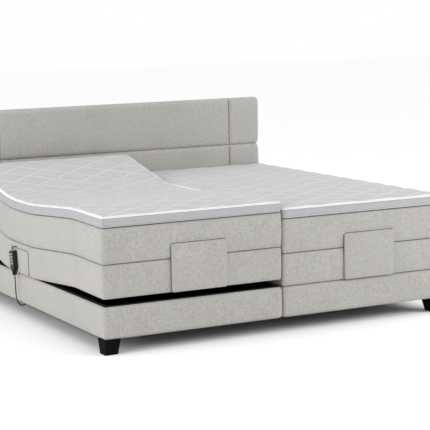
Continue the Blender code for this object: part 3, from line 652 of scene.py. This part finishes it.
def panel(name, low, high, face_axis, outward, radii, puff, seam, body, node, side=None):
    """Thin padded panel that stands against a wall, with a topstitched edge.

    `face_axis` is the axis across its thickness and `outward` the way it faces.
    """
    sizes = [high[axis] - low[axis] for axis in range(3)]
    lines = []
    for axis in range(3):
        if axis == face_axis:
            lines.append(levels(low[axis], high[axis], sizes[axis] / 3))
        else:
            lines.append(levels(low[axis], high[axis], 0.006, radii[axis], 4))
    grid, faces = grid_shell(*lines)
    points = round_box(grid, low, high, radii)
    across = [axis for axis in range(3) if axis != face_axis]
    inset = np.minimum.reduce([np.minimum(grid[:, axis] - low[axis], high[axis] - grid[:, axis])
                               for axis in across])
    front = high[face_axis] if outward > 0 else low[face_axis]
    depth = 1.0 - np.abs(grid[:, face_axis] - front) / sizes[face_axis]
    crown = puff * (1.0 - np.exp(-np.maximum(inset - seam, 0.0) / 0.022))
    stitch = 0.0016 * np.exp(-((inset - seam) / 0.0035) ** 2)
    points[:, face_axis] += outward * (crown - stitch - puff * 0.8) * np.clip(depth, 0.0, 1.0)
    if side is not None:
        points = side.settle(points)
    obj = new_object(name, points, faces, FABRIC)
    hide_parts(node)
    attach(obj, body)
    return obj


# radius of the tube that carries the painted gap shadow
GAP_SHADOW_RADIUS = 0.0014


def gap_shadow_line(name, points, body, side):
    """Thin near-black tube along the open edges of a panel: painted shadow of the gap between the
    panel and the wall.
    """
    points = np.array(points) if side is None else side.settle(points)
    curve = bpy.data.curves.new(name, "CURVE")
    curve.dimensions = "3D"
    curve.bevel_depth = GAP_SHADOW_RADIUS
    curve.bevel_resolution = 1
    curve.use_fill_caps = True
    spline = curve.splines.new("POLY")
    spline.points.add(len(points) - 1)
    for point, spot in zip(spline.points, points):
        point.co = (*spot, 1.0)
    curve.materials.append(GAP_SHADOW)
    obj = bpy.data.objects.new(name, curve)
    bpy.context.scene.collection.objects.link(obj)
    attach(obj, body)
    return obj


def foot_panel(side):
    """Panel on the foot end that reaches from the box up over the mattress."""
    node = "foot_panel_" + side.label
    low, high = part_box("foot_panel_right")
    across = side.centre - SIDES[1].centre
    low, high = (low[0] + across, low[1], low[2]), (high[0] + across, high[1], high[2])
    body = side.label + "_calf"
    wall = high[1] - 0.004
    edge = [(low[0] - 0.0012, wall, low[2]), (low[0] - 0.0012, wall, high[2] - 0.010),
            (low[0] + 0.010, wall, high[2] + 0.0012), (high[0] - 0.010, wall, high[2] + 0.0012),
            (high[0] + 0.0012, wall, high[2] - 0.010), (high[0] + 0.0012, wall, low[2])]
    # painted shadow of the gap round the foot flap
    gap_shadow_line("foot_flap_gap_shadow_" + side.label, edge, body, side)
    return panel("foot_flap_" + side.label, low, high, 1, -1.0,
                 (0.012, 0.006, 0.012), 0.0035, 0.014, body, node, side)


def side_panel(side):
    """Small panel at the hinge on the outer wall."""
    node = "side_patch_" + side.label
    low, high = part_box(node)
    wall = (low[0] if side.outward > 0 else high[0]) + side.outward * 0.003
    edge = [(wall, high[1] - 0.008, high[2] + 0.001), (wall, low[1] + 0.008, high[2] + 0.001),
            (wall, low[1] - 0.001, high[2] - 0.010), (wall, low[1] - 0.001, low[2] + 0.010),
            (wall, low[1] + 0.002, low[2] + 0.002)]
    # painted shadow of the gap at the side flap's edges
    gap_shadow_line("side_flap_gap_shadow_" + side.label, edge, ROOT, None)
    return panel("side_flap_" + side.label, low, high, 0, side.outward, (0.003, 0.009, 0.009),
                 0.0025, 0.010, ROOT, node)


# ---------------------------------------------------------------- headboard


def headboard():
    """Padded headboard with a horizontal seam and two upright seams that pinch it."""
    low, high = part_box("headboard_pad")
    seam_z = 0.772
    seam_x = [MIDDLE_X - 0.777, MIDDLE_X + 0.777]
    radius = 0.026
    xs = levels(low[0], high[0], 0.012, radius, 6)
    zs = levels(low[2], high[2], 0.012, radius, 6)
    for line in seam_x:
        xs = np.sort(np.concatenate((xs, line + np.array((-0.004, -0.0015, 0.0, 0.0015, 0.004)))))
    zs = np.sort(np.concatenate((zs, seam_z + np.array((-0.004, -0.0015, 0.0, 0.0015, 0.004)))))
    ys = levels(low[1], high[1], 0.012, radius, 6)
    grid, faces = grid_shell(xs, ys, zs)
    points = round_box(grid, low, high, (radius, radius, radius))
    across = np.abs(grid[:, 2] - seam_z)
    pinch = 0.013 * np.exp(-across / 0.005) + 0.003 * np.exp(-across / 0.035)
    upright = np.minimum(*[np.abs(grid[:, 0] - line) for line in seam_x])
    crease = 0.012 * np.exp(-upright / 0.0045) + 0.002 * np.exp(-upright / 0.030)
    front = np.clip(1.0 - (grid[:, 1] - low[1]) / (radius * 1.2), 0.0, 1.0)
    middle = (low[0] + high[0]) / 2
    ends = np.clip((np.abs(grid[:, 0] - middle) - (high[0] - middle) + 0.02) / 0.02, 0.0, 1.0)
    pull = 0.010 * np.exp(-across / 0.008) + 0.006 * np.exp(-across / 0.040)
    points[:, 0] -= np.sign(grid[:, 0] - middle) * ends * pull
    points[:, 1] += front * np.maximum(pinch, crease)
    points[:, 1] += front * 0.0012 * wrinkles(grid, 9.0, 3.0)
    obj = new_object("headboard_cushion", points, faces, FABRIC)
    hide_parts("headboard_pad")
    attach(obj, ROOT)
    return obj


# ---------------------------------------------------------------- handset cord

CORD_DIAMETER = 0.006
CORD_STEP = 0.013
CORD_ROUTE = (
    (-1.0210, 0.1577, 0.2272),
    (-1.0209, 0.1570, 0.2100),
    (-1.0205, 0.1560, 0.1850),
    (-1.0200, 0.1552, 0.1600),
    (-1.0193, 0.1548, 0.1300),
    (-1.0175, 0.1545, 0.1050),
    (-1.0130, 0.1550, 0.0850),
    (-1.0050, 0.1575, 0.0700),
    (-0.9950, 0.1625, 0.0600),
    (-0.9830, 0.1700, 0.0540),
    (-0.9700, 0.1775, 0.0515),
    (-0.9600, 0.1825, 0.0530),
    (-0.9553, 0.1848, 0.0580),
    (-0.9550, 0.1850, 0.0660),
)
BED_ORIGIN = (MIDDLE_X, FOOT_Y + 1.0, 0.0)


def smooth_route(points, step):
    """Points of a smooth curve through the route, about one step apart."""
    nodes = [Vector(p) for p in points]
    nodes = [2 * nodes[0] - nodes[1]] + nodes + [2 * nodes[-1] - nodes[-2]]
    route = [nodes[1]]
    for a, b, c, d in zip(nodes, nodes[1:], nodes[2:], nodes[3:]):
        pieces = max(1, round((c - b).length / step))
        for piece in range(1, pieces + 1):
            t = piece / pieces
            route.append(0.5 * ((2 * b) + (c - a) * t + (2 * a - 5 * b + 4 * c - d) * t * t
                                + (3 * b - a - 3 * c + d) * t * t * t))
    return route


def handset_cord():
    """Cord from the handset's tail down the base and up into the bottom board's grommet."""
    origin = Vector(BED_ORIGIN)
    route = [point + origin for point in smooth_route(CORD_ROUTE, CORD_STEP)]
    curve = bpy.data.curves.new("handset_lead", "CURVE")
    curve.dimensions = "3D"
    curve.bevel_depth = CORD_DIAMETER / 2
    curve.bevel_resolution = 3
    curve.use_fill_caps = True
    spline = curve.splines.new("POLY")
    spline.points.add(len(route) - 1)
    for point, spot in zip(spline.points, route):
        point.co = (*spot, 1.0)
    spline.use_smooth = True
    curve.materials.append(SHEATH)
    obj = bpy.data.objects.new("handset_lead", curve)
    bpy.context.scene.collection.objects.link(obj)
    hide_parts("handset_cord")
    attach(obj, ROOT)
    return obj


# ---------------------------------------------------------------- camera, floor and light

CAMERA_PLACE = (-3.862, -7.667, 1.680)      # from the floor under the middle of the two sides
CAMERA_YAW = 27.55
CAMERA_PITCH = 7.89
CAMERA_ROLL = -1.15
CAMERA_LENS = 128.28


def camera():
    yaw, pitch, roll = (math.radians(a) for a in (CAMERA_YAW, CAMERA_PITCH, CAMERA_ROLL))
    forward = Vector((math.sin(yaw) * math.cos(pitch), math.cos(yaw) * math.cos(pitch),
                      -math.sin(pitch)))
    right = Vector((math.cos(yaw), -math.sin(yaw), 0.0))
    up = right.cross(forward)
    camera_x = math.cos(roll) * right + math.sin(roll) * up
    camera_y = -math.sin(roll) * right + math.cos(roll) * up
    data = bpy.data.cameras.new("camera")
    data.lens = CAMERA_LENS
    data.sensor_width = 36.0
    data.clip_end = 100.0
    obj = bpy.data.objects.new("camera", data)
    bpy.context.scene.collection.objects.link(obj)
    turn = Matrix((camera_x, camera_y, -forward)).transposed().to_4x4()
    obj.matrix_world = Matrix.Translation(Vector(CAMERA_PLACE) + Vector(BED_ORIGIN)) @ turn
    bpy.context.scene.camera = obj


def area_light(name, place_from, aim, size, energy, color=(1.0, 1.0, 1.0)):
    data = bpy.data.lights.new(name, "AREA")
    data.shape = "RECTANGLE"
    data.size, data.size_y = size
    data.energy = energy
    data.color = color
    obj = bpy.data.objects.new(name, data)
    bpy.context.scene.collection.objects.link(obj)
    obj.location = place_from
    obj.rotation_euler = (Vector(aim) - Vector(place_from)).to_track_quat("-Z", "Y").to_euler()
    return obj


def studio():
    """Plain pale floor, white surroundings and soft lights."""
    scene = bpy.context.scene
    scene.view_settings.view_transform = "Standard"
    world = bpy.data.worlds.new("studio_world")
    world.use_nodes = True
    background = world.node_tree.nodes["Background"]
    background.inputs["Color"].default_value = (1.0, 1.0, 1.0, 1.0)
    background.inputs["Strength"].default_value = 1.0
    scene.world = world
    bpy.ops.mesh.primitive_plane_add(size=60.0, location=(0.0, 0.0, 0.0))
    floor = bpy.context.object
    floor.name = "studio_floor"
    material, _, shader = node_material("studio_floor_paint", 0.9)
    shader.inputs["Base Color"].default_value = (0.97, 0.97, 0.97, 1.0)
    floor.data.materials.append(material)
    area_light("key_left", (-6.5, -0.8, 2.6), (0.0, 0.0, 0.4), (3.5, 2.5), 165.0)
    area_light("front_right", (4.4, -4.0, 2.6), (0.6, 0.6, 0.8), (2.5, 2.0), 128.0)


# ---------------------------------------------------------------- the whole bed

finish_cad_nodes()
for bed_side in SIDES:
    base_band(bed_side)
    box_layer(bed_side)
    mattress_layer(bed_side)
    topper_layer(bed_side)
    foot_panel(bed_side)
    side_panel(bed_side)
headboard()
handset_cord()
camera()
studio()
